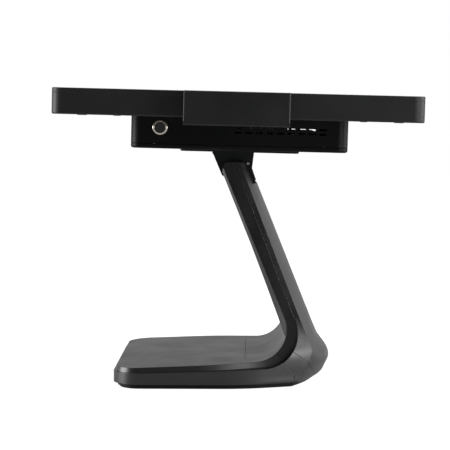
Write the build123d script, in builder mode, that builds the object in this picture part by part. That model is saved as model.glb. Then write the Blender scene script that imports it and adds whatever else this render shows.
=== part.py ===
from build123d import *
from math import atan2, cos, degrees, radians, sin, tan
import os

# Point-of-sale touch terminal, in millimetres. +Z is up, -Y faces the user and +X is the
# terminal's right side. The origin is on the table under the middle of the base.

# Driving dimensions
WALL = 2.6

# Hinge between stand and head
HINGE_Y, HINGE_Z = 26.0, 186.0
FOLD_TILT = 1.47
SHAFT_R = 4.0
SHAFT_HALF = 29.9
LUG_X, LUG_T, LUG_R = 20.0, 5.0, 10.5
CHEEK_X, CHEEK_T = 28.0, 3.0
WASHER_R = 9.0

# Head: heights above the hinge axis, measured along the head's own normal
PLATE_LOW, PLATE_TOP = 18.3, 22.0
BOX_SEAM, BOX_TOP = 26.2, 49.2
COVER_TOP, SLAB_TOP = 66.5, 70.5
SLAB_X, SLAB_Y, SLAB_R = 370.0, 300.0, 9.0
BOX_X, BOX_Y, BOX_R = 250.0, 182.6, 9.0
HEAD_Y, BOX_MID_Y = -1.8, -0.6
PLATE_SIDE, PLATE_HOLES = 104.8, 75.0

# Card reader on the right edge
READER_X0, READER_X1 = SLAB_X / 2 + 0.05, 211.0
READER_Y, READER_LOW = 84.0, 43.3
SLOT_X, SLOT_W, SLOT_DEPTH = 197.4, 1.3, 24.0

# Power button on the box's right wall
BUTTON_Y, BUTTON_H = -67.0, 39.8
BUTTON_HOLE_R, BUTTON_RING_R, CAP_R = 5.7, 6.6, 4.6

# Base and neck
BASE_FRONT, BASE_R = -84.6, 24.0
BASE_LOW, BASE_TOP_FRONT = 4.3, 17.7
LEDGE_FRONT = 13.6
W_BASE, W_BAND, W_HEEL, W_NECK, W_TOP = 95.0, 92.8, 80.0, 70.0, 45.0
NECK_Z, NECK_TOP = 60.0, 195.5
BEND_Y, BEND_Z, BEND_R, LEAN = 39.8, 49.8, 27.4, 22.5
LEDGE_Y, LEDGE_Z, LEDGE_R, LEDGE_LEAN = 48.0, 46.5, 29.2, 21.3
SIDE_LEAN = (W_NECK - W_TOP) / (NECK_TOP - NECK_Z)
CREASE_IN, NECK_STEP = 0.35, 0.12

os.makedirs("parts", exist_ok=True)


def save(piece, name):
    """Label one finished piece and write it under the same name."""
    piece.part.label = name
    export_step(piece.part, f"parts/{name}.step")


def between(low, high, share):
    return low + (high - low) * share


# Planes. The head's plane leans back by FOLD_TILT about the hinge axis.
HEAD = Plane(
    origin=(0, HINGE_Y, HINGE_Z), x_dir=(1, 0, 0),
    z_dir=(0, sin(radians(FOLD_TILT)), cos(radians(FOLD_TILT))),
)


def head_at(height):
    return HEAD.offset(height)


def head_side(x):
    """A plane facing +X whose own axes are the head's +Y and its normal."""
    return Plane(origin=HEAD.from_local_coords(Vector(x, 0, 0)), x_dir=HEAD.y_dir, z_dir=(1, 0, 0))


def head_front(y):
    """A plane facing the head's front edge whose own axes are +X and the head's normal."""
    return Plane(origin=HEAD.from_local_coords(Vector(0, y, 0)), x_dir=(1, 0, 0), z_dir=-HEAD.y_dir)


# ---------------------------------------------------------------- display slab
with BuildPart() as head_back_cover:
    with BuildSketch(head_at(BOX_TOP)):
        with Locations((0, HEAD_Y)):
            RectangleRounded(SLAB_X, SLAB_Y, SLAB_R)
    extrude(amount=COVER_TOP - BOX_TOP)
    outer_edges = head_back_cover.faces().sort_by(Axis(HEAD.origin, HEAD.z_dir))[0].edges()
    fillet(outer_edges, 1.2)
    with BuildSketch(head_at(BOX_TOP + WALL)):
        with Locations((0, HEAD_Y)):
            RectangleRounded(SLAB_X - 2 * WALL, SLAB_Y - 2 * WALL, SLAB_R - WALL)
    extrude(amount=COVER_TOP, mode=Mode.SUBTRACT)
    # cable window between the slab and the computer box
    with BuildSketch(head_at(BOX_TOP - 1)):
        with Locations((0, 45)):
            RectangleRounded(60, 20, 3)
    extrude(amount=6, mode=Mode.SUBTRACT)
save(head_back_cover, "head_back_cover")

GLASS_X, GLASS_Y, GLASS_T = 350.0, 280.0, 1.8
VIEW_X, VIEW_Y = 306.0, 230.0
with BuildPart() as bezel_frame:
    with BuildSketch(head_at(COVER_TOP)):
        with Locations((0, HEAD_Y)):
            RectangleRounded(SLAB_X, SLAB_Y, SLAB_R)
            RectangleRounded(GLASS_X - 16, GLASS_Y - 16, 4, mode=Mode.SUBTRACT)
    extrude(amount=SLAB_TOP - COVER_TOP)
    with BuildSketch(head_at(SLAB_TOP - GLASS_T - 0.6)):
        with Locations((0, HEAD_Y)):
            RectangleRounded(GLASS_X, GLASS_Y, 5)
    extrude(amount=10, mode=Mode.SUBTRACT)
    fillet(
        bezel_frame.faces().sort_by(Axis(HEAD.origin, HEAD.z_dir))[-1].outer_wire().edges(), 0.8
    )
save(bezel_frame, "bezel_frame")

with BuildPart() as glass_gasket:
    with BuildSketch(head_at(SLAB_TOP - GLASS_T - 0.6)):
        with Locations((0, HEAD_Y)):
            RectangleRounded(GLASS_X - 1, GLASS_Y - 1, 5)
            RectangleRounded(GLASS_X - 14, GLASS_Y - 14, 4, mode=Mode.SUBTRACT)
    extrude(amount=0.5)
save(glass_gasket, "glass_gasket")

with BuildPart() as touch_glass:
    with BuildSketch(head_at(SLAB_TOP - GLASS_T - 0.1)):
        with Locations((0, HEAD_Y)):
            RectangleRounded(GLASS_X - 0.6, GLASS_Y - 0.6, 5)
    extrude(amount=GLASS_T)
save(touch_glass, "touch_glass")

LCD_X, LCD_Y, LCD_T, LCD_LOW = 326.0, 253.0, 7.0, 60.0
with BuildPart() as lcd_panel:
    with BuildSketch(head_at(LCD_LOW)):
        with Locations((0, HEAD_Y)):
            RectangleRounded(LCD_X, LCD_Y, 3)
    extrude(amount=LCD_T)
    with BuildSketch(head_at(LCD_LOW + LCD_T - 0.6)):
        with Locations((0, HEAD_Y)):
            Rectangle(VIEW_X, VIEW_Y)
    extrude(amount=1, mode=Mode.SUBTRACT)
save(lcd_panel, "lcd_panel")

with BuildPart() as lcd_brackets:
    for side in (-1, 1):
        with BuildSketch(head_at(LCD_LOW - 3.5)):
            with Locations((side * (LCD_X / 2 + 4.6), HEAD_Y)):
                Rectangle(8, 230)
        extrude(amount=9.8)
        with BuildSketch(head_at(LCD_LOW - 3.5)):
            with Locations((side * (LCD_X / 2 + 5.9), HEAD_Y)):
                Rectangle(5.6, 240)
        extrude(amount=8.2, mode=Mode.SUBTRACT)
save(lcd_brackets, "lcd_brackets")

with BuildPart() as display_board:
    with BuildSketch(head_at(BOX_TOP + WALL + 2)):
        with Locations((0, -70)):
            Rectangle(120, 50)
    extrude(amount=1.6)
    with BuildSketch(head_at(BOX_TOP + WALL + 3.6)):
        with Locations((-30, -70), (10, -62), (38, -76)):
            Rectangle(16, 12)
    extrude(amount=2)
save(display_board, "display_board")

# Rubber dots and screws on the underside, near the slab's corners
with BuildPart() as head_bumpers:
    with BuildSketch(head_at(BOX_TOP)):
        with GridLocations(300, 260, 2, 2):
            Circle(4)
    extrude(amount=-0.7)
    fillet(head_bumpers.faces().sort_by(Axis(HEAD.origin, HEAD.z_dir))[0:4].edges(), 0.4)
save(head_bumpers, "head_bumpers")

with BuildPart() as back_cover_screws:
    with BuildSketch(head_at(BOX_TOP)):
        with GridLocations(330, 200, 2, 2):
            Circle(3)
    extrude(amount=-0.5)
    with BuildSketch(head_at(BOX_TOP - 0.5)):
        with GridLocations(330, 200, 2, 2):
            RegularPolygon(1.4, 6)
    extrude(amount=0.4, mode=Mode.SUBTRACT)
save(back_cover_screws, "back_cover_screws")


# ---------------------------------------------------------------- computer box
VENT_PITCH, VENT_L, VENT_H, VENT_N = 8.86, 6.6, 1.7, 9
VENT_ROWS = (40.8, 37.0)
VENT_Y = -1.6
# sockets on the front wall: name, centre across, height, width, tall
PORT_H = 33.0
PORTS = {
    "dc_jack": (-96, 10, 10),
    "lan_jack": (-66, 16, 13.5),
    "drawer_jack": (-40, 14, 12),
    "video_port": (0, 32, 11),
    "serial_port": (44, 32, 11),
    "usb_ports": (86, 14.5, 15),
}
BOX_WALL_Y = BOX_MID_Y - BOX_Y / 2

with BuildPart() as box_housing:
    with BuildSketch(head_at(BOX_SEAM)):
        with Locations((0, BOX_MID_Y)):
            RectangleRounded(BOX_X, BOX_Y, BOX_R)
            RectangleRounded(BOX_X - 2 * WALL, BOX_Y - 2 * WALL, BOX_R - WALL, mode=Mode.SUBTRACT)
    extrude(amount=BOX_TOP - BOX_SEAM)
    # vents through the right and left walls
    with BuildSketch(head_side(-BOX_X)):
        for row in VENT_ROWS:
            for i in range(VENT_N):
                with Locations((VENT_Y + i * VENT_PITCH, row)):
                    SlotOverall(VENT_L, VENT_H)
    extrude(amount=2 * BOX_X, mode=Mode.SUBTRACT)
    # button hole in the right wall
    with BuildSketch(head_side(BOX_X / 2 - 10)):
        with Locations((BUTTON_Y, BUTTON_H)):
            Circle(BUTTON_HOLE_R)
    extrude(amount=20, mode=Mode.SUBTRACT)
    # windows for the sockets
    with BuildSketch(head_front(BOX_WALL_Y + 10)):
        for x, wide, tall in PORTS.values():
            with Locations((x, PORT_H + tall / 2)):
                RectangleRounded(wide + 0.6, tall + 0.6, 0.8)
    extrude(amount=20, mode=Mode.SUBTRACT)
save(box_housing, "box_housing")

with BuildPart() as box_bottom_cover:
    with BuildSketch(head_at(PLATE_TOP)):
        with Locations((0, BOX_MID_Y)):
            RectangleRounded(BOX_X, BOX_Y, BOX_R)
    extrude(amount=BOX_SEAM - PLATE_TOP - 0.3)
    fillet(box_bottom_cover.faces().sort_by(Axis(HEAD.origin, HEAD.z_dir))[0].edges(), 2.0)
    with BuildSketch(head_at(PLATE_TOP + 2.2)):
        with Locations((0, BOX_MID_Y)):
            RectangleRounded(BOX_X - 2 * WALL, BOX_Y - 2 * WALL, BOX_R - WALL)
    extrude(amount=10, mode=Mode.SUBTRACT)
    # threaded holes for the mounting plate's screws
    with BuildSketch(head_at(PLATE_TOP - 1)):
        with GridLocations(PLATE_HOLES, PLATE_HOLES, 2, 2):
            Circle(2.0)
    extrude(amount=6, mode=Mode.SUBTRACT)
save(box_bottom_cover, "box_bottom_cover")

BOARD_LOW, BOARD_T = 31.0, 1.6
with BuildPart() as standoffs:
    with BuildSketch(head_at(PLATE_TOP + 2.2)):
        with Locations((0, BOX_MID_Y)):
            with GridLocations(210, 140, 2, 2):
                Circle(3)
    extrude(amount=BOARD_LOW - PLATE_TOP - 2.2)
save(standoffs, "standoffs")

with BuildPart() as mainboard:
    with BuildSketch(head_at(BOARD_LOW)):
        with Locations((0, BOX_MID_Y)):
            Rectangle(230, 165)
    extrude(amount=BOARD_T)
    with BuildSketch(head_at(BOARD_LOW + BOARD_T)):
        with Locations((-60, -20), (-20, -45), (60, 40), (75, -30)):
            Rectangle(14, 14)
        with Locations((-85, 10)):
            Rectangle(10, 30)
    extrude(amount=2.2)
save(mainboard, "mainboard")

with BuildPart() as heat_sink:
    with BuildSketch(head_at(BOARD_LOW + BOARD_T + 0.05)):
        with Locations((20, 10)):
            Rectangle(60, 60)
    extrude(amount=4)
    with BuildSketch(head_at(BOARD_LOW + BOARD_T + 4)):
        with Locations((20, 10)):
            with GridLocations(5.8, 1, 11, 1):
                Rectangle(1.4, 60)
    extrude(amount=8)
save(heat_sink, "heat_sink")

with BuildPart() as memory_module:
    with BuildSketch(head_at(BOARD_LOW + BOARD_T + 0.05)):
        with Locations((-50, 40)):
            Rectangle(70, 6)
    extrude(amount=4)
    with BuildSketch(head_at(BOARD_LOW + BOARD_T + 4)):
        with Locations((-50, 52)):
            Rectangle(67.6, 30)
    extrude(amount=1.2)
save(memory_module, "memory_module")

with BuildPart() as solid_state_drive:
    with BuildSketch(head_at(PLATE_TOP + 2.25)):
        with Locations((0, -40)):
            RectangleRounded(100, 69.8, 2)
    extrude(amount=6)
save(solid_state_drive, "solid_state_drive")

with BuildPart() as speaker:
    with BuildSketch(head_at(BOARD_LOW + BOARD_T + 0.05)):
        with Locations((-96, -50)):
            RectangleRounded(24, 40, 3)
    extrude(amount=9)
    with BuildSketch(head_at(BOARD_LOW + BOARD_T + 8.05)):
        with Locations((-96, -50)):
            RectangleRounded(18, 34, 2)
    extrude(amount=2, mode=Mode.SUBTRACT)
save(speaker, "speaker")

# Sockets stand on the main board behind the front wall's windows
SOCKET_DEPTH = 14.0
for name, (x, wide, tall) in PORTS.items():
    hollow = {"lan_jack": (12, 8.5), "drawer_jack": (10, 7.5), "dc_jack": (6, 6)}
    with BuildPart() as socket:
        with BuildSketch(head_front(BOX_WALL_Y + SOCKET_DEPTH)):
            with Locations((x, PORT_H + tall / 2)):
                Rectangle(wide, tall)
        extrude(amount=SOCKET_DEPTH)
        with BuildSketch(head_front(BOX_WALL_Y + SOCKET_DEPTH - 4)):
            with Locations((x, PORT_H + tall / 2)):
                if name == "dc_jack":
                    Circle(3.2)
                elif name in hollow:
                    Rectangle(*hollow[name])
                elif name == "usb_ports":
                    with GridLocations(1, 7.2, 1, 2):
                        Rectangle(12.2, 4.6)
                else:
                    SlotOverall(17, 8)
        extrude(amount=SOCKET_DEPTH, mode=Mode.SUBTRACT)
        if name in ("video_port", "serial_port"):
            with BuildSketch(head_front(BOX_WALL_Y + SOCKET_DEPTH - 4)):
                with Locations((x, PORT_H + tall / 2)):
                    SlotOverall(15, 5.4)
            extrude(amount=7)
            with BuildSketch(head_front(BOX_WALL_Y)):
                with Locations((x - 12.5, PORT_H + tall / 2), (x + 12.5, PORT_H + tall / 2)):
                    RegularPolygon(2.5, 6)
            extrude(amount=4)
        if name == "usb_ports":
            with BuildSketch(head_front(BOX_WALL_Y + SOCKET_DEPTH - 4)):
                with Locations((x, PORT_H + tall / 2 + 0.9)):
                    with GridLocations(1, 7.2, 1, 2):
                        Rectangle(10.6, 1.6)
            extrude(amount=9)
        if name == "dc_jack":
            with BuildSketch(head_front(BOX_WALL_Y + SOCKET_DEPTH - 4)):
                with Locations((x, PORT_H + tall / 2)):
                    Circle(1.0)
            extrude(amount=8)
    save(socket, name)

# ---------------------------------------------------------------- power button
BOX_SIDE = BOX_X / 2
with BuildPart() as button_body:
    with BuildSketch(head_side(BOX_SIDE)):
        with Locations((BUTTON_Y, BUTTON_H)):
            Circle(BUTTON_RING_R)
    extrude(amount=1.8)
    fillet(button_body.faces().sort_by(Axis.X)[-1].edges(), 1.5)
    with BuildSketch(head_side(BOX_SIDE)):
        with Locations((BUTTON_Y, BUTTON_H)):
            Circle(BUTTON_HOLE_R - 0.1)
    extrude(amount=-14)
    # bore that guides the cap, over a wider pocket for its collar and the spring
    with BuildSketch(head_side(BOX_SIDE - 2)):
        with Locations((BUTTON_Y, BUTTON_H)):
            Circle(CAP_R + 0.05)
    extrude(amount=10, mode=Mode.SUBTRACT)
    with BuildSketch(head_side(BOX_SIDE - 13)):
        with Locations((BUTTON_Y, BUTTON_H)):
            Circle(CAP_R + 0.4)
    extrude(amount=11, mode=Mode.SUBTRACT)
save(button_body, "button_body")

with BuildPart() as button_nut:
    with BuildSketch(head_side(BOX_SIDE - WALL - 0.05)):
        with Locations((BUTTON_Y, BUTTON_H)):
            RegularPolygon(7.6, 6)
            Circle(BUTTON_HOLE_R - 0.05, mode=Mode.SUBTRACT)
    extrude(amount=-2.2)
save(button_nut, "button_nut")

CAP_PROUD = 1.5
with BuildPart() as button_cap:
    with BuildSketch(head_side(BOX_SIDE + CAP_PROUD)):
        with Locations((BUTTON_Y, BUTTON_H)):
            Circle(CAP_R)
    extrude(amount=-(CAP_PROUD + 5))
    fillet(button_cap.faces().sort_by(Axis.X)[-1].edges(), 0.5)
    with BuildSketch(head_side(BOX_SIDE - 2.3)):
        with Locations((BUTTON_Y, BUTTON_H)):
            Circle(CAP_R + 0.3)
    extrude(amount=-1.2)
save(button_cap, "button_cap")

with BuildPart() as button_spring:
    with BuildSketch(head_side(BOX_SIDE - 5.1)):
        with Locations((BUTTON_Y, BUTTON_H)):
            Circle(3.4)
            Circle(2.9, mode=Mode.SUBTRACT)
    extrude(amount=-7.8)
save(button_spring, "button_spring")

# ---------------------------------------------------------------- card reader
READER_Y0 = HEAD_Y - 0.5
SLOT_LOW = SLAB_TOP - SLOT_DEPTH
READER_MID = SLOT_X + SLOT_W


def reader_block(x0, x1, low, high):
    """A block of the card reader between two X values and two heights."""
    with BuildSketch(head_at(low)) as outline:
        with Locations(((x0 + x1) / 2, READER_Y0)):
            Rectangle(x1 - x0, READER_Y)
    extrude(outline.sketch, amount=high - low)


with BuildPart() as reader_base:
    reader_block(READER_X0, READER_X1, READER_LOW + 0.05, SLOT_LOW)
    long_edges = reader_base.edges().filter_by(lambda e: e.length > READER_Y - 1)
    fillet(long_edges.sort_by(Axis.X)[-2:].sort_by(Axis.Z)[0], 1.2)
save(reader_base, "reader_base")

with BuildPart() as reader_body:
    reader_block(READER_X0, SLOT_X, SLOT_LOW + 0.05, SLAB_TOP)
    # room for the board and head, open towards the slot
    with BuildSketch(head_at(SLOT_LOW + 2)):
        with Locations((SLOT_X - 3.5, READER_Y0)):
            Rectangle(7.2, 40)
    extrude(amount=SLOT_DEPTH - 6, mode=Mode.SUBTRACT)
save(reader_body, "reader_body")

with BuildPart() as reader_wall:
    reader_block(READER_MID, READER_X1, SLOT_LOW + 0.05, SLAB_TOP)
    outer_edges = reader_wall.faces().sort_by(Axis.X)[-1].edges().sort_by(Axis.Z)
    fillet(outer_edges[1:], 1.0)
save(reader_wall, "reader_wall")

with BuildPart() as reader_board:
    with BuildSketch(head_at(SLOT_LOW + 3)):
        with Locations((SLOT_X - 6.2, READER_Y0)):
            Rectangle(1.4, 38)
    extrude(amount=SLOT_DEPTH - 9)
save(reader_board, "reader_board")

with BuildPart() as read_head:
    with BuildSketch(head_at(SLOT_LOW + 4)):
        with Locations((SLOT_X - 2.7, READER_Y0)):
            RectangleRounded(5.2, 12, 1.5)
    extrude(amount=8)
save(read_head, "read_head")

# ---------------------------------------------------------------- mounting plate and bracket
with BuildPart() as mounting_plate:
    with BuildSketch(head_at(PLATE_LOW)):
        with Locations((0, -0.7)):
            RectangleRounded(PLATE_SIDE, PLATE_SIDE, 4)
        with GridLocations(PLATE_HOLES, PLATE_HOLES, 2, 2):
            Circle(2.2, mode=Mode.SUBTRACT)
    extrude(amount=PLATE_TOP - PLATE_LOW - 0.05)
    chamfer(
        mounting_plate.faces().sort_by(Axis(HEAD.origin, HEAD.z_dir))[0].outer_wire().edges(), 0.7
    )
    # pockets that take the screw heads flush
    with BuildSketch(head_at(PLATE_LOW)):
        with GridLocations(PLATE_HOLES, PLATE_HOLES, 2, 2):
            Circle(3.8)
    extrude(amount=2.0, mode=Mode.SUBTRACT)
save(mounting_plate, "mounting_plate")

with BuildPart() as plate_screws:
    with BuildSketch(head_at(PLATE_LOW + 0.15)):
        with GridLocations(PLATE_HOLES, PLATE_HOLES, 2, 2):
            Circle(3.6)
    extrude(amount=1.8)
    with BuildSketch(head_at(PLATE_LOW + 0.15)):
        with GridLocations(PLATE_HOLES, PLATE_HOLES, 2, 2):
            RegularPolygon(1.5, 6)
    extrude(amount=1, mode=Mode.SUBTRACT)
    with BuildSketch(head_at(PLATE_LOW + 1.95)):
        with GridLocations(PLATE_HOLES, PLATE_HOLES, 2, 2):
            Circle(1.95)
    extrude(amount=3.6)
save(plate_screws, "plate_screws")

BRACKET_TOP = PLATE_LOW - 0.05
with BuildPart() as hinge_bracket:
    for side in (-1, 1):
        with BuildSketch(head_side(side * CHEEK_X - CHEEK_T / 2)):
            with BuildLine():
                Polyline(
                    (-25.6, BRACKET_TOP), (12.2, BRACKET_TOP), (10.6, 2.0), (14.8, -9.4), (6.0, -11.0),
                    (-8.0, -9.0), (-16.2, -3.0), (-18.2, 1.5), (-25.6, BRACKET_TOP),
                )
            make_face()
            Circle(SHAFT_R + 0.05, mode=Mode.SUBTRACT)
        extrude(amount=CHEEK_T)
    # top flange that the mounting plate is screwed to
    with BuildSketch(head_at(BRACKET_TOP - 2.5)):
        with Locations((0, -6.6)):
            Rectangle(2 * CHEEK_X + CHEEK_T, 37.2)
            with GridLocations(36, 18, 2, 2):
                Circle(2.0, mode=Mode.SUBTRACT)
    extrude(amount=2.5)
save(hinge_bracket, "hinge_bracket")

with BuildPart() as bracket_screws:
    with BuildSketch(head_at(BRACKET_TOP - 2.55)):
        with Locations((0, -6.6)):
            with GridLocations(36, 18, 2, 2):
                Circle(3.2)
    extrude(amount=-1.6)
    with BuildSketch(head_at(BRACKET_TOP - 2.55)):
        with Locations((0, -6.6)):
            with GridLocations(36, 18, 2, 2):
                Circle(1.9)
    extrude(amount=2.5)
save(bracket_screws, "bracket_screws")

# Stop pin through the rear of each cheek
with BuildPart() as stop_pins:
    for side in (-1, 1):
        with BuildSketch(head_side(side * (CHEEK_X + CHEEK_T / 2 + 0.02))):
            with Locations((6.9, 7.9)):
                Circle(1.2)
        extrude(amount=side * 0.5)
save(stop_pins, "stop_pins")

# ---------------------------------------------------------------- hinge
with BuildPart() as hinge_shaft:
    with BuildSketch(head_side(-SHAFT_HALF)):
        Circle(SHAFT_R)
    extrude(amount=2 * SHAFT_HALF)
    chamfer(hinge_shaft.edges(), 0.5)
save(hinge_shaft, "hinge_shaft")

with BuildPart() as friction_washers:
    for side in (-1, 1):
        with BuildSketch(head_side(side * (LUG_X + LUG_T + 0.25))):
            Circle(WASHER_R)
            Circle(SHAFT_R + 0.05, mode=Mode.SUBTRACT)
        extrude(amount=side * (CHEEK_X - CHEEK_T / 2 - LUG_X - LUG_T - 0.3))
save(friction_washers, "friction_washers")

with BuildPart() as shaft_nuts:
    for side in (-1, 1):
        with BuildSketch(head_side(side * (LUG_X - 0.05))):
            RegularPolygon(7.2, 6)
            Circle(SHAFT_R + 0.02, mode=Mode.SUBTRACT)
        extrude(amount=-side * 4.2)
save(shaft_nuts, "shaft_nuts")


# ---------------------------------------------------------------- stand outlines
# The stand's side view is drawn on a plane facing +X, with +Y across and +Z up.
SIDE = Plane.YZ
WIDE = 120.0

# By height: the crease at the rear of the flanks, the crown's crest behind it, how full the
# crown's arc is, and how far the flank turns in as it reaches the crease
REAR = (
    (4.3, 77.0, 100.4, 0.70, 0.34), (12.0, 81.4, 105.0, 0.75, 0.34), (21.0, 86.4, 106.9, 0.78, 0.34),
    (28.5, 89.2, 102.6, 0.78, 0.34), (34.0, 89.2, 98.4, 0.76, 0.28), (45.0, 84.8, 93.2, 0.76, 0.20),
    (60.0, 78.8, 87.3, 0.76, 0.08), (76.0, 72.6, 81.0, 0.76, 0.08),
)
SECTIONS = 15


def rear_at(z):
    """Smooth values of the REAR table at one height."""
    here = max(i for i in range(len(REAR) - 1) if REAR[i][0] <= z)
    low, high = REAR[here], REAR[here + 1]
    before, after = REAR[max(here - 1, 0)], REAR[min(here + 2, len(REAR) - 1)]
    span = high[0] - low[0]
    t = (z - low[0]) / span
    values = []
    for v0, v1, v_before, v_after in zip(low[1:], high[1:], before[1:], after[1:]):
        slope0 = (v1 - v_before) / (high[0] - before[0]) * span
        slope1 = (v_after - v0) / (after[0] - low[0]) * span
        bend = (2 * t**3 - 3 * t**2 + 1) * v0 + (3 * t**2 - 2 * t**3) * v1
        values.append(bend + (t**3 - 2 * t**2 + t) * slope0 + (t**3 - t**2) * slope1)
    return values


def rounded_front(side_x, front, corner, side_end):
    """Front edge of a plan, its rounded corner and the straight side up to side_end."""
    Line((0, front), (side_x - corner, front))
    TangentArc((side_x - corner, front), (side_x, front + corner), tangent=(1, 0))
    Line((side_x, front + corner), (side_x, side_end))


def stand_outline(z, rear_y, crest_y, fullness, turn, inset):
    """Plan of base and heel at one height: rounded front, sides that draw in, crowned rear."""
    side_x = W_BASE - 0.065 * (z - BASE_LOW) - inset
    rear_x = between(W_HEEL, W_NECK - CREASE_IN, (z - BASE_LOW) / (NECK_Z - BASE_LOW)) - inset
    with BuildSketch(Plane.XY.offset(z)) as plan:
        with BuildLine():
            rounded_front(side_x, BASE_FRONT + inset, BASE_R - inset, 10)
            Spline((side_x, 10), (rear_x, rear_y - inset), tangents=((0, 1), (-turn, 1)))
            ThreePointArc(
                (rear_x, rear_y - inset),
                (rear_x / 2, between(rear_y, crest_y, fullness) - inset), (0, crest_y - inset),
            )
            mirror(about=Plane.YZ)
        make_face()
    return plan.sketch


def stand_body(inset):
    """Loft the outer form of base and heel through its plans."""
    heights = [between(REAR[0][0], REAR[-1][0], i / (SECTIONS - 1)) for i in range(SECTIONS)]
    with BuildPart() as body:
        loft([stand_outline(z, *rear_at(z), inset) for z in heights])
    return body.part.split(Plane.XY.offset(NECK_Z), keep=Keep.BOTTOM)


def band_outline(z, inset):
    """Plan of the inner band at one height: it leans in like the neck's sides."""
    lean_in = (z - LEDGE_FRONT) * SIDE_LEAN + inset
    side_x, rear_x = W_BAND - lean_in, W_NECK + (NECK_Z - z) * SIDE_LEAN - inset
    with BuildSketch(Plane.XY.offset(z)) as plan:
        with BuildLine():
            rounded_front(side_x, BASE_FRONT + 1.8 + lean_in, BASE_R - 1.8 - lean_in, -15)
            Spline((side_x, -15), (rear_x, 68), tangents=((0, 1), (0, 1)))
            Polyline((rear_x, 68), (rear_x, 100), (0, 100))
            mirror(about=Plane.YZ)
        make_face()
    return plan.sketch


def band_plan(inset):
    """Prism of the inner band, narrower than the outer form."""
    with BuildPart() as body:
        loft([band_outline(z, inset) for z in (0, NECK_Z)], ruled=True)
    return body.part


def bend_point(y, z, radius, angle):
    """Point on a bend, at an angle in degrees above its centre's level."""
    return (y + radius * cos(radians(angle)), z + radius * sin(radians(angle)))


# Places on the bends where the straight neck starts
BEND_END = bend_point(BEND_Y, BEND_Z, BEND_R, LEAN)
LEDGE_END = bend_point(LEDGE_Y, LEDGE_Z, LEDGE_R, LEDGE_LEAN)


def on_lean(point, z, lean=LEAN):
    """Follow the neck's lean from a point up to height z."""
    return (point[0] - (z - point[1]) * tan(radians(lean)), z)


def inner_line(inset=0.0):
    """Base top, concave bend and the neck's front edge, from the front upwards."""
    low, middle, end = [bend_point(BEND_Y, BEND_Z, BEND_R + inset, angle) for angle in (-90, -45, LEAN)]
    Line((BASE_FRONT - 5, BASE_TOP_FRONT - inset), low)
    ThreePointArc(low, middle, end)
    Line(end, on_lean(end, NECK_TOP + 20))
    return on_lean(end, NECK_TOP + 20)


def ledge_line():
    """Foot of the dark band: along the base, round the bend and up the neck."""
    low, middle = [bend_point(LEDGE_Y, LEDGE_Z, LEDGE_R, angle) for angle in (-90, -45)]
    top = on_lean(LEDGE_END, NECK_TOP + 20, LEDGE_LEAN)
    Line((BASE_FRONT - 5, LEDGE_FRONT), low)
    ThreePointArc(low, middle, LEDGE_END)
    Line(LEDGE_END, top)
    return top


def side_prism(draw, low=-1.0, shift=0.0):
    """Everything below and behind a side-view line, as a wide prism."""
    with BuildPart() as body:
        with BuildSketch(SIDE.offset(-WIDE)):
            with BuildLine():
                top = draw()
                Line(top, (130, top[1]))
                Line((130, top[1]), (130, low))
                Line((130, low), (BASE_FRONT - 5, low))
                Line((BASE_FRONT - 5, low), (BASE_FRONT - 5, BASE_TOP_FRONT if shift == 0 else shift))
            make_face()
        extrude(amount=2 * WIDE)
    return body.part


below_inner = side_prism(inner_line)
below_skin = side_prism(lambda: inner_line(WALL), shift=BASE_TOP_FRONT - WALL)
below_lining = side_prism(lambda: inner_line(WALL + 0.1), shift=BASE_TOP_FRONT - WALL - 0.1)
below_ledge = side_prism(ledge_line, shift=LEDGE_FRONT)

# Seams of the heel cover, as side-view prisms behind each seam
SEAM_A = ((57.6, 29.5), (73.8, 10.8), (74.6, -2.0))
SEAM_B = ((66.0, 36.5), (86.2, 21.2), (97.0, -2.0))


def behind_seam(seam, shift=0.0):
    with BuildPart() as body:
        with BuildSketch(SIDE.offset(-WIDE)):
            with BuildLine():
                Polyline(
                    (seam[0][0] + shift - 30, seam[0][1] + 34), *[(y + shift, z) for y, z in seam],
                    (130, -2.0), (130, 120), (seam[0][0] + shift - 30, 120),
                    (seam[0][0] + shift - 30, seam[0][1] + 34),
                )
            make_face()
        extrude(amount=2 * WIDE)
    return body.part


SEAM = 0.25
behind_a, behind_a2 = behind_seam(SEAM_A), behind_seam(SEAM_A, SEAM)
behind_b, behind_b2 = behind_seam(SEAM_B), behind_seam(SEAM_B, SEAM)

outer, outer_in = stand_body(0.0), stand_body(WALL)
band, band_in = band_plan(0.0), band_plan(WALL)
with BuildPart() as above_base:
    with BuildSketch(Plane.XY.offset(BASE_LOW)):
        Rectangle(300, 300)
    extrude(amount=300)
above = above_base.part

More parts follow.
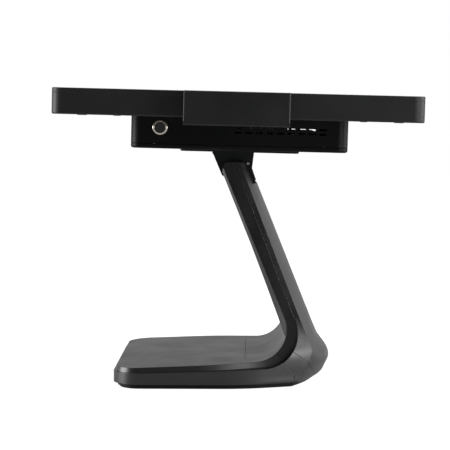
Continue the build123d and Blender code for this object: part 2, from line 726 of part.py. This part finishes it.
# ---------------------------------------------------------------- neck
def neck_section(z, inset, rear_only):
    """Plan of the neck at one height; the front cover's part or the rear cover's part."""
    half = between(W_NECK, W_TOP, (z - NECK_Z) / (NECK_TOP - NECK_Z)) - inset
    bevel = 2.3 + 3.1 * (max(0.0, NECK_TOP - z) / (NECK_TOP - NECK_Z)) ** 2.2
    edge = on_lean(BEND_END, z)[0] + inset
    ledge = on_lean(LEDGE_END, z, LEDGE_LEAN)[0]
    crease = between(78.8, 26.0, (z - NECK_Z) / (NECK_TOP - NECK_Z)) - inset
    crest = between(87.3, 33.4, (z - NECK_Z) / (NECK_TOP - NECK_Z)) - inset
    with BuildSketch(Plane.XY.offset(z)) as plan:
        with BuildLine():
            if rear_only:
                half, crease, crest = half - NECK_STEP, crease - NECK_STEP, crest - NECK_STEP
                start = ledge + SEAM / 2 - 5 * (inset > 0)
                Line((0, start), (half, start))
                rear_x = half - CREASE_IN
                Line((half, start), (rear_x, crease))
                ThreePointArc((rear_x, crease), (rear_x / 2, between(crease, crest, 0.76)), (0, crest))
            else:
                reach = ledge - SEAM / 2 + 5 * (inset > 0)
                Line((0, edge - bevel), (half - bevel, edge - bevel))
                Line((half - bevel, edge - bevel), (half, edge))
                Line((half, edge), (half, reach))
                Line((half, reach), (0, reach))
            mirror(about=Plane.YZ)
        make_face()
    return plan.sketch


def neck_body(inset, rear_only):
    with BuildPart() as body:
        loft([neck_section(z, inset, rear_only) for z in (NECK_Z, 88, 124, NECK_TOP)], ruled=True)
    return body.part


TOP_CUT = Plane.XY.offset(NECK_TOP - WALL)
neck_front = neck_body(0.0, False)
neck_front_in = neck_body(WALL, False).split(TOP_CUT, keep=Keep.BOTTOM)
neck_rear = neck_body(0.0, True)
neck_rear_in = neck_body(WALL, True).split(TOP_CUT, keep=Keep.BOTTOM)

# The bulge under the neck's front face, where it runs out on the concave bend
with BuildPart() as bulge:
    loft([neck_section(z, 0.0, False) for z in (NECK_Z - 22, NECK_Z)], ruled=True)
    add(below_inner, mode=Mode.SUBTRACT)

# Rounded top of the neck, seen from the side
with BuildPart() as neck_limit:
    with BuildSketch(SIDE.offset(-WIDE)):
        with BuildLine():
            FilletPolyline((9.4, 135.0), (9.4, 183.0), (12.4, NECK_TOP), (22.0, NECK_TOP), radius=4.5)
            FilletPolyline((22.0, NECK_TOP), (33.6, NECK_TOP), (54.0, NECK_TOP - 45), radius=11)
            Polyline((54.0, NECK_TOP - 45), (130, NECK_TOP - 45), (130, 0), (-90, 0), (-90, 135.0), (9.4, 135.0))
        make_face()
    extrude(amount=2 * WIDE)

# Slot at the top of the neck, in which the bracket turns
BRACKET_SLOT_X, FRONT_SLOT_Z, REAR_SLOT_Z = 30.3, 161.0, 175.4


def slot_block(low, y0, y1):
    with BuildPart() as block:
        with BuildSketch(Plane.XY.offset(low)) as plan:
            with Locations((0, (y0 + y1) / 2)):
                Rectangle(2 * BRACKET_SLOT_X, y1 - y0)
        extrude(plan.sketch, amount=60)
    return block.part


# ---------------------------------------------------------------- stand shells
PANEL_FRONT, PANEL_REAR_Z = 31.0, 44.0


def panel_prism(grow):
    """Plan of the cable cover, which narrows with the bend, as an upright prism."""
    with BuildPart() as body:
        with BuildSketch(Plane.XY) as plan:
            with BuildLine():
                Polyline(
                    (-72 - grow, PANEL_FRONT - grow), (72 + grow, PANEL_FRONT - grow), (54 + grow, 80),
                    (-54 - grow, 80), (-72 - grow, PANEL_FRONT - grow),
                )
            face = make_face()
            fillet(face.vertices().group_by(Axis.Y)[0], 7 + grow)
        extrude(plan.sketch, amount=PANEL_REAR_Z + grow)
    return body.part


with BuildPart() as base_shell:
    add(outer)
    add(below_ledge, mode=Mode.INTERSECT)
    add(band)
    add(below_inner, mode=Mode.INTERSECT)
    add(behind_a, mode=Mode.SUBTRACT)
    add(band_in & below_skin, mode=Mode.SUBTRACT)
    # the concave lining runs on behind the seam, inside the neck cover's edges
    add((band_plan(1.1) & below_inner) - below_skin)
    add(above, mode=Mode.INTERSECT)
    add(panel_prism(0.25), mode=Mode.SUBTRACT)
save(base_shell, "base_shell")

with BuildPart() as cable_cover:
    add(panel_prism(0.0))
    add(below_inner, mode=Mode.INTERSECT)
    add(below_skin, mode=Mode.SUBTRACT)
save(cable_cover, "cable_cover")

with BuildPart() as heel_cover:
    add(outer)
    add(below_ledge, mode=Mode.INTERSECT)
    add(behind_a2, mode=Mode.INTERSECT)
    add(behind_b, mode=Mode.SUBTRACT)
    add(outer_in & side_prism(ledge_line, 7.0, LEDGE_FRONT), mode=Mode.SUBTRACT)
save(heel_cover, "heel_cover")

with BuildPart() as neck_rear_cover:
    add(outer)
    add(below_ledge, mode=Mode.INTERSECT)
    add(behind_b2, mode=Mode.INTERSECT)
    add(outer_in & side_prism(ledge_line, 7.0, LEDGE_FRONT), mode=Mode.SUBTRACT)
    add(neck_rear - neck_rear_in)
    add(slot_block(REAR_SLOT_Z, 0, 80), mode=Mode.SUBTRACT)
    add(neck_limit.part, mode=Mode.INTERSECT)
save(neck_rear_cover, "neck_rear_cover")

with BuildPart() as neck_front_cover:
    add(band)
    add(below_inner, mode=Mode.INTERSECT)
    add(behind_a2, mode=Mode.INTERSECT)
    add(below_ledge, mode=Mode.SUBTRACT)
    add(band_in, mode=Mode.SUBTRACT)
    add(band_plan(1.0) - below_lining, mode=Mode.SUBTRACT)
    add(neck_front - neck_front_in)
    add(bulge.part)
    add(slot_block(FRONT_SLOT_Z, -20, 60), mode=Mode.SUBTRACT)
    add(neck_limit.part, mode=Mode.INTERSECT)
save(neck_front_cover, "neck_front_cover")


# ---------------------------------------------------------------- inside the stand
# Two steel arms follow the neck from the base plate to the hinge lugs
ARM_W = 10.0
ARM_LOW = BASE_LOW + ARM_W / 2
ARM_PATH = ((HINGE_Y, HINGE_Z), (77.6, 52.0), (66.0, ARM_LOW), (2.0, ARM_LOW))


def arm_outline():
    """Side view of one arm: straight runs with round ends, and the hinge eye."""
    for (y0, z0), (y1, z1) in zip(ARM_PATH, ARM_PATH[1:]):
        run = Vector(y1 - y0, z1 - z0)
        lean = degrees(atan2(z1 - z0, y1 - y0))
        with Locations(((y0 + y1) / 2, (z0 + z1) / 2)):
            SlotCenterToCenter(run.length, ARM_W, rotation=lean)
    with Locations((HINGE_Y, HINGE_Z)):
        Circle(LUG_R)
        Circle(SHAFT_R + 0.05, mode=Mode.SUBTRACT)


with BuildPart() as neck_arm:
    for side in (-1, 1):
        with BuildSketch(SIDE.offset(side * LUG_X)):
            arm_outline()
        extrude(amount=side * LUG_T)
    # web that ties the arms together behind the hinge's swing
    with BuildSketch(SIDE.offset(-LUG_X)):
        with Locations((60.2, 98.0)):
            Rectangle(70, 3, rotation=degrees(atan2(HINGE_Z - 52.0, HINGE_Y - 78.0)))
    extrude(amount=2 * LUG_X)
save(neck_arm, "neck_arm")

PLATE_LOW_Z = 1.6
with BuildPart() as base_plate:
    with BuildSketch(Plane.XY.offset(PLATE_LOW_Z)):
        add(stand_outline(PLATE_LOW_Z, *REAR[0][1:], 3.6))
    extrude(amount=BASE_LOW - PLATE_LOW_Z - 0.02)
save(base_plate, "base_plate")

with BuildPart() as anti_slip_ring:
    with BuildSketch(Plane.XY):
        add(stand_outline(0, *REAR[0][1:], 5.6))
        add(stand_outline(0, *REAR[0][1:], 15.6), mode=Mode.SUBTRACT)
    extrude(amount=PLATE_LOW_Z)
save(anti_slip_ring, "anti_slip_ring")

with BuildPart() as ballast:
    with BuildSketch(Plane.XY.offset(BASE_LOW)):
        with Locations((0, -38)):
            RectangleRounded(150, 66, 8)
    extrude(amount=8.5)
save(ballast, "ballast")

with BuildPart() as base_screws:
    with BuildSketch(Plane.XY.offset(PLATE_LOW_Z - 0.02)):
        with GridLocations(120, 90, 2, 2):
            Circle(3.2)
    extrude(amount=-1.2)
    with BuildSketch(Plane.XY.offset(PLATE_LOW_Z - 1.22)):
        with GridLocations(120, 90, 2, 2):
            RegularPolygon(1.5, 6)
    extrude(amount=0.8, mode=Mode.SUBTRACT)
save(base_screws, "base_screws")
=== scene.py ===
import math

import bpy
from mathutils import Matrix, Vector


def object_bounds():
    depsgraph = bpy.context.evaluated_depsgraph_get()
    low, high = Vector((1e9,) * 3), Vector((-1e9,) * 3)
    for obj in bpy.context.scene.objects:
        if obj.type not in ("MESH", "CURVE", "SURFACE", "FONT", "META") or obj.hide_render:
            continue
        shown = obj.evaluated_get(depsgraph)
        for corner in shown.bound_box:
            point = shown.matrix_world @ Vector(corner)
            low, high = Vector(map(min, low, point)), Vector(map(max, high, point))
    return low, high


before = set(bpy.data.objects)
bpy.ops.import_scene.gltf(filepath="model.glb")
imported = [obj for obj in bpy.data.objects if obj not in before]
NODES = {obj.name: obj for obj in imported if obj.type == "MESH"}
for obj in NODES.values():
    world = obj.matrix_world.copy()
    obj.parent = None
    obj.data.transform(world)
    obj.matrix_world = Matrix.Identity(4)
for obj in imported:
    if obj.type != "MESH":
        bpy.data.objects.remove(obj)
cad_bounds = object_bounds()

EDGE_SAMPLES = 6
GLASS_COAT_ROUGHNESS = 0.03
COLOUR_SPREAD, ROUGH_SPREAD = 0.12, 0.05
BLACK = (0.0052, 0.0056, 0.0063)
READER_BLACK = (0.0062, 0.0066, 0.0074)
# the box's black is partly its own darker plastic and partly painted shade from the display head
# above it
BOX_BLACK_AND_SHADE = (0.0010, 0.0013, 0.0017)
METAL_BLACK = (0.0022, 0.003, 0.0033)
STAND = (0.0115, 0.0118, 0.0127)

FLOOR_HALF, FLOOR_GAP, FLOOR_GREY = 14.0, 0.0002, 0.30
# brightness that the camera sees, and brightness that lights the object
FLOOR_SEEN, FLOOR_GLOW = 0.93, 0.28
WORLD_SEEN, WORLD_UNSEEN = 1.0, 0.0
WORLD_RAMP = {"From Min": -0.25, "From Max": 0.5, "To Min": 0.48, "To Max": 0.02}
CAMERA_PLACE = Vector((1.474, 0.0388, 0.246))
SENSOR_WIDTH, FOCAL_PIXELS, FRAME_PIXELS = 36.0, 1611.0, 450.0
YAW, PITCH = math.radians(1.04), math.radians(4.26)


# ---------------------------------------------------------------- materials
def new_material(name):
    """A material, its node tree and its Principled shader."""
    material = bpy.data.materials.new(name)
    material.use_nodes = True
    tree = material.node_tree
    shader = tree.nodes["Principled BSDF"]
    return material, tree, shader


def noise(tree, scale, detail=2.0, roughness=0.5):
    """Noise in object space, so its grain keeps its real size."""
    place = tree.nodes.new("ShaderNodeTexCoord")
    texture = tree.nodes.new("ShaderNodeTexNoise")
    texture.inputs["Scale"].default_value = scale
    texture.inputs["Detail"].default_value = detail
    texture.inputs["Roughness"].default_value = roughness
    tree.links.new(place.outputs["Object"], texture.inputs["Vector"])
    return texture


def ramp(tree, source, low, high, start=0.35, end=0.65):
    """Turn a noise value into a colour or grey between two stops."""
    node = tree.nodes.new("ShaderNodeValToRGB")
    node.color_ramp.elements[0].position = start
    node.color_ramp.elements[1].position = end
    node.color_ramp.elements[0].color = low
    node.color_ramp.elements[1].color = high
    tree.links.new(source, node.inputs["Fac"])
    return node.outputs["Color"]


def grey(value):
    return (value, value, value, 1.0)


def tint(color, share):
    return tuple(channel * share for channel in color[:3]) + (1.0,)


def rounded_normal(tree, radius, bump_height, bump_distance, bump_strength=0.35):
    """Soften the shading along edges, then add relief on top of it."""
    edge = tree.nodes.new("ShaderNodeBevel")
    edge.samples = EDGE_SAMPLES
    edge.inputs["Radius"].default_value = radius
    bump = tree.nodes.new("ShaderNodeBump")
    bump.inputs["Strength"].default_value = bump_strength
    bump.inputs["Distance"].default_value = bump_distance
    tree.links.new(edge.outputs["Normal"], bump.inputs["Normal"])
    tree.links.new(bump_height, bump.inputs["Height"])
    return bump.outputs["Normal"]


def surface(name, color, roughness, metallic=0.0, specular=0.5, grain=2600.0,
            grain_height=0.00002, cloud=35.0, edge=0.0004):
    """A finish with cloudy colour, uneven gloss, a fine grain in relief and soft edges."""
    material, tree, shader = new_material(name)
    shader.inputs["Metallic"].default_value = metallic
    shader.inputs["Specular IOR Level"].default_value = specular
    clouds = noise(tree, cloud, 4.0, 0.55)
    tree.links.new(
        ramp(
            tree, clouds.outputs["Fac"],
            tint(color, 1 - COLOUR_SPREAD), tint(color, 1 + COLOUR_SPREAD),
        ),
        shader.inputs["Base Color"],
    )
    tree.links.new(
        ramp(
            tree, clouds.outputs["Fac"],
            grey(roughness - ROUGH_SPREAD), grey(roughness + ROUGH_SPREAD), 0.3, 0.7,
        ),
        shader.inputs["Roughness"],
    )
    grains = noise(tree, grain, 3.0, 0.6)
    normal = rounded_normal(tree, edge, grains.outputs["Fac"], grain_height)
    tree.links.new(normal, shader.inputs["Normal"])
    return material


def glass_surface():
    """Dark coated cover glass over the display."""
    material, tree, shader = new_material("cover_glass")
    smears = noise(tree, 18.0, 5.0, 0.6)
    tree.links.new(
        ramp(tree, smears.outputs["Fac"], grey(0.045), grey(0.085)), shader.inputs["Roughness"],
    )
    tree.links.new(
        ramp(tree, smears.outputs["Fac"], (0.006, 0.0065, 0.008, 1), (0.009, 0.0095, 0.011, 1)),
        shader.inputs["Base Color"],
    )
    shader.inputs["Specular IOR Level"].default_value = 0.5
    shader.inputs["Coat Weight"].default_value = 0.6
    shader.inputs["Coat Roughness"].default_value = GLASS_COAT_ROUGHNESS
    return material


def board_surface():
    """Green solder mask with darker copper traces under it."""
    material, tree, shader = new_material("solder_mask")
    place = tree.nodes.new("ShaderNodeTexCoord")
    traces = tree.nodes.new("ShaderNodeTexBrick")
    traces.inputs["Scale"].default_value = 160.0
    traces.inputs["Color1"].default_value = (0.012, 0.065, 0.03, 1)
    traces.inputs["Color2"].default_value = (0.016, 0.085, 0.04, 1)
    traces.inputs["Mortar"].default_value = (0.03, 0.13, 0.06, 1)
    tree.links.new(place.outputs["Object"], traces.inputs["Vector"])
    tree.links.new(traces.outputs["Color"], shader.inputs["Base Color"])
    shader.inputs["Roughness"].default_value = 0.4
    return material


plastic = surface("textured_black_plastic", BLACK, 0.5, specular=0.45)
# darker box plastic: partly its own colour, partly painted shade for the shadow under the display
# head
box_plastic_and_shade = surface(
    "smooth_black_plastic_and_painted_shade", BOX_BLACK_AND_SHADE, 0.42, specular=0.16, grain_height=0.00001,
)
reader_plastic = surface(
    "reader_black_plastic", READER_BLACK, 0.42, specular=0.45, grain_height=0.00001,
)
shell_paint = surface(
    "satin_black_shell", STAND, 0.33, specular=0.9, grain=3200.0, grain_height=0.000012,
    edge=0.0005,
)
metal_paint = surface("powder_coated_metal", METAL_BLACK, 0.5, specular=0.25, grain=1500.0)
steel = surface("plain_steel", (0.46, 0.46, 0.47), 0.32, metallic=1.0, grain=1800.0, cloud=90.0)
screw_metal = surface("black_oxide_screw", (0.03, 0.03, 0.031), 0.38, metallic=0.6)
ring_metal = surface(
    "machined_ring", (0.62, 0.57, 0.50), 0.22, metallic=1.0, cloud=400.0, grain_height=0.000006,
)
cap_plastic = surface("button_cap_plastic", (0.016, 0.0158, 0.0155), 0.38)
rubber = surface(
    "black_rubber", (0.016, 0.016, 0.016), 0.75, specular=0.3, grain_height=0.00004,
)
lcd_surface = surface("display_surface", (0.008, 0.0085, 0.0095), 0.3, grain_height=0.000004)
aluminium = surface("plain_aluminium", (0.55, 0.55, 0.57), 0.35, metallic=1.0, cloud=70.0)
iron = surface(
    "cast_iron", (0.05, 0.05, 0.05), 0.7, metallic=0.5, grain=700.0, grain_height=0.00012,
)
glass = glass_surface()
board = board_surface()

FINISHES = {
    plastic: ["head_back_cover", "bezel_frame"],
    box_plastic_and_shade: ["box_housing", "box_bottom_cover", "speaker", "dc_jack", "drawer_jack"],
    reader_plastic: ["reader_base", "reader_body", "reader_wall"],
    shell_paint: ["base_shell", "cable_cover", "heel_cover", "neck_rear_cover", "neck_front_cover"],
    metal_paint: ["mounting_plate", "hinge_bracket", "neck_arm", "base_plate"],
    steel: [
        "lcd_brackets", "standoffs", "video_port", "serial_port", "usb_ports", "lan_jack",
        "button_spring", "read_head", "stop_pins", "hinge_shaft", "friction_washers", "shaft_nuts",
    ],
    screw_metal: ["back_cover_screws", "plate_screws", "bracket_screws", "base_screws"],
    ring_metal: ["button_body", "button_nut"],
    cap_plastic: ["button_cap"],
    rubber: ["glass_gasket", "head_bumpers", "anti_slip_ring"],
    lcd_surface: ["lcd_panel"],
    aluminium: ["heat_sink", "solid_state_drive"],
    iron: ["ballast"],
    glass: ["touch_glass"],
    board: ["display_board", "mainboard", "memory_module", "reader_board"],
}
for material, names in FINISHES.items():
    for name in names:
        mesh = NODES[name].data
        mesh.materials.clear()
        mesh.materials.append(material)


# ---------------------------------------------------------------- floor, light and camera
def camera_share(tree, seen, unseen):
    """One strength for what the camera sees directly, and another that lights the object."""
    path = tree.nodes.new("ShaderNodeLightPath")
    pick = tree.nodes.new("ShaderNodeMix")
    pick.data_type = "FLOAT"
    tree.links.new(path.outputs["Is Camera Ray"], pick.inputs["Factor"])
    pick.inputs["A"].default_value = unseen
    pick.inputs["B"].default_value = seen
    return pick


def build_floor():
    """A plain pale floor, far wider than the picture."""
    mesh = bpy.data.meshes.new("floor")
    corners = [
        (x * FLOOR_HALF, y * FLOOR_HALF, 0) for x, y in ((-1, -1), (1, -1), (1, 1), (-1, 1))
    ]
    mesh.from_pydata(corners, [], [(0, 1, 2, 3)])
    floor = bpy.data.objects.new("floor", mesh)
    floor.location.z = cad_bounds[0][2] - FLOOR_GAP
    bpy.context.collection.objects.link(floor)
    material, tree, shader = new_material("pale_floor")
    shader.inputs["Base Color"].default_value = grey(FLOOR_GREY)
    shader.inputs["Roughness"].default_value = 0.9
    shader.inputs["Specular IOR Level"].default_value = 0.0
    shader.inputs["Emission Color"].default_value = (1, 1, 1, 1)
    glow = camera_share(tree, FLOOR_SEEN, FLOOR_GLOW)
    tree.links.new(glow.outputs["Result"], shader.inputs["Emission Strength"])
    mesh.materials.append(material)


def build_world():
    """White surroundings to the camera, which light the object less from the camera's side."""
    world = bpy.data.worlds.new("studio")
    bpy.context.scene.world = world
    world.use_nodes = True
    tree = world.node_tree
    background = tree.nodes["Background"]
    place = tree.nodes.new("ShaderNodeTexCoord")
    split = tree.nodes.new("ShaderNodeSeparateXYZ")
    tree.links.new(place.outputs["Generated"], split.inputs["Vector"])
    side = tree.nodes.new("ShaderNodeMapRange")
    side.interpolation_type = "SMOOTHSTEP"
    for socket, value in WORLD_RAMP.items():
        side.inputs[socket].default_value = value
    tree.links.new(split.outputs["X"], side.inputs["Value"])
    pick = camera_share(tree, WORLD_SEEN, WORLD_UNSEEN)
    tree.links.new(side.outputs["Result"], pick.inputs["A"])
    tree.links.new(pick.outputs["Result"], background.inputs["Strength"])
    background.inputs["Color"].default_value = (1, 1, 1, 1)


def soft_box(name, place, aim, size, radiance):
    """One large area light pointed at a spot, as bright per area whatever its size."""
    data = bpy.data.lights.new(name, "AREA")
    data.shape = "RECTANGLE"
    data.size, data.size_y = size
    data.energy = radiance * math.pi * size[0] * size[1]
    lamp = bpy.data.objects.new(name, data)
    lamp.location = place
    lamp.rotation_euler = (Vector(aim) - Vector(place)).to_track_quat("-Z", "Y").to_euler()
    lamp.visible_camera = False
    bpy.context.collection.objects.link(lamp)


def build_camera():
    """Camera on the terminal's right, about level with the display and looking slightly down."""
    data = bpy.data.cameras.new("camera")
    data.sensor_width = SENSOR_WIDTH
    data.lens = data.sensor_width * FOCAL_PIXELS / FRAME_PIXELS
    data.clip_start, data.clip_end = 0.05, 60.0
    camera = bpy.data.objects.new("camera", data)
    camera.location = CAMERA_PLACE
    forward = Vector((
        -math.cos(YAW) * math.cos(PITCH), -math.sin(YAW) * math.cos(PITCH), -math.sin(PITCH),
    ))
    camera.rotation_euler = forward.to_track_quat("-Z", "Y").to_euler()
    bpy.context.collection.objects.link(camera)
    bpy.context.scene.camera = camera


build_floor()
build_world()
soft_box("rear_corner_box", (1.05, 0.95, 0.36), (0.0, 0.05, 0.15), (0.5, 0.7), 5.5)
soft_box("rear_box", (0.05, 1.4, 0.5), (0.0, 0.05, 0.15), (0.9, 0.9), 5.0)
soft_box("front_box", (0.2, -1.4, 0.32), (0.0, 0.0, 0.15), (0.9, 0.9), 7.5)
soft_box("overhead", (0.0, 0.0, 1.7), (0.0, 0.04, 0.1), (0.8, 1.2), 5.0)
build_camera()
bpy.context.scene.view_settings.view_transform = "Standard"
